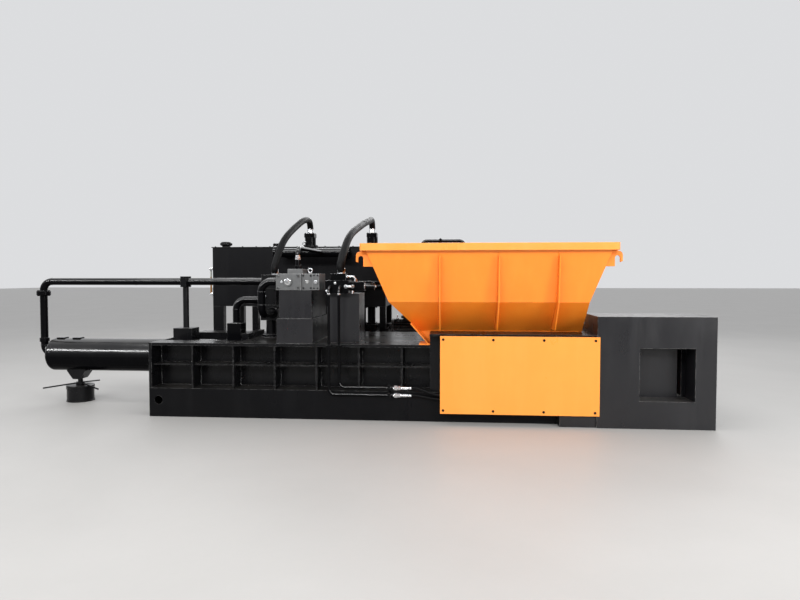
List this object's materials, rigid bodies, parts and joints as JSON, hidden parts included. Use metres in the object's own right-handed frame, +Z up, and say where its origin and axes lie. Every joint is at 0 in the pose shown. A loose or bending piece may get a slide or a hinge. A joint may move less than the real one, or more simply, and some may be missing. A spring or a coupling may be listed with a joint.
{
  "type": "recycling baler",
  "caption": "Hydraulic scrap baler: long ram cylinder in a ribbed guide frame, orange feed hopper over the charge box, press head with side ram and sliding gate, oil tank behind.",
  "frame": {"origin": "on the floor under the main ram's axis, where the guide frame meets the charge box", "axes": "+X along the main ram's stroke towards the press head, +Y away from the side with the cover plate, +Z up"},
  "size_m": [7.624, 3.36, 2.3147],
  "materials": {
    "black_paint": "semi-gloss, worn",
    "orange_paint": "semi-gloss",
    "bare_steel": "machined",
    "grey_steel": "satin grey",
    "zinc": "zinc plated",
    "rubber": "matte",
    "chrome": "polished"
  },
  "bodies": {
    "frame": {"base_frame": "black_paint", "guide_wall_front": "black_paint", "guide_wall_rear": "black_paint", "guide_end_plate": "black_paint", "guide_top_plate": "black_paint", "wear_strips": "bare_steel", "cylinder_bulkhead": "black_paint", "charge_wall_front": "black_paint", "charge_wall_rear": "black_paint", "cover_frame": "black_paint", "cover_plate": "orange_paint", "cover_bolts": "black_paint", "head_base": "black_paint", "head_front": "black_paint", "head_top": "black_paint", "head_end_wall": "black_paint", "head_rear_plate": "black_paint", "fixed_blade": "bare_steel", "gate_cylinder": "black_paint", "hopper_shell": "orange_paint", "hopper_rim": "orange_paint", "hopper_ribs": "orange_paint", "hopper_hooks": "orange_paint", "main_barrel": "black_paint", "main_gland": "bare_steel", "side_barrel": "black_paint", "side_gland": "bare_steel", "cylinder_bolts": "black_paint", "jack_base": "black_paint", "feed_pipe": "black_paint", "feed_drop": "black_paint", "pipe_post": "black_paint", "valve_pipes": "black_paint", "junction_valve": "black_paint", "valve_stands": "black_paint", "main_manifold": "grey_steel", "aux_valve": "black_paint", "line_fittings": "zinc", "gate_pipes": "black_paint", "gate_hoses": "rubber", "oil_tank": "black_paint", "power_skid": "black_paint", "breather_cap": "black_paint", "return_filters": "black_paint", "return_hoses": "rubber", "return_header": "black_paint", "motors": "black_paint", "pumps": "black_paint", "suction_pipes": "black_paint", "pressure_pipes": "black_paint"},
    "gate": {"gate": "black_paint", "gate_rod": "chrome"},
    "main_ram": {"main_ram": "black_paint", "main_rod": "chrome"},
    "side_ram": {"side_ram": "black_paint", "side_rod": "chrome"},
    "jack_nut": {"jack_nut": "black_paint"},
    "jack_screw": {"jack_screw": "black_paint"},
    "rotor_1": {"rotor_1": "bare_steel"},
    "rotor_2": {"rotor_2": "bare_steel"}
  },
  "joints": [
    {"name": "main_ram_slide", "type": "slide", "parent": "frame", "child": "main_ram", "axis": [1, 0, 0], "range_m": [0, 2.074]},
    {"name": "side_ram_slide", "type": "slide", "parent": "frame", "child": "side_ram", "axis": [0, -1, 0], "range_m": [0, 0.998]},
    {"name": "gate_slide", "type": "slide", "parent": "frame", "child": "gate", "axis": [-1, 0, 0], "range_m": [-0.124, 0.446]},
    {"name": "jack_nut_turn", "type": "hinge", "parent": "frame", "child": "jack_nut", "pos_m": [-4.29, 0, 0.2], "axis": [0, 0, 1], "range_deg": [-1080, 0]},
    {"name": "jack_screw_slide", "type": "slide", "parent": "frame", "child": "jack_screw", "axis": [0, 0, 1], "range_m": [-0.036, 0]},
    {"name": "rotor_1_spin", "type": "hinge", "parent": "frame", "child": "rotor_1", "pos_m": [-2, 1.35, 0.74], "axis": [1, 0, 0], "continuous": true},
    {"name": "rotor_2_spin", "type": "hinge", "parent": "frame", "child": "rotor_2", "pos_m": [-0.3, 1.35, 0.74], "axis": [1, 0, 0], "continuous": true}
  ],
  "couplings": [
    {"joint": "jack_screw_slide", "follows": "jack_nut_turn", "m_per_rad": 0.0019099}
  ]
}
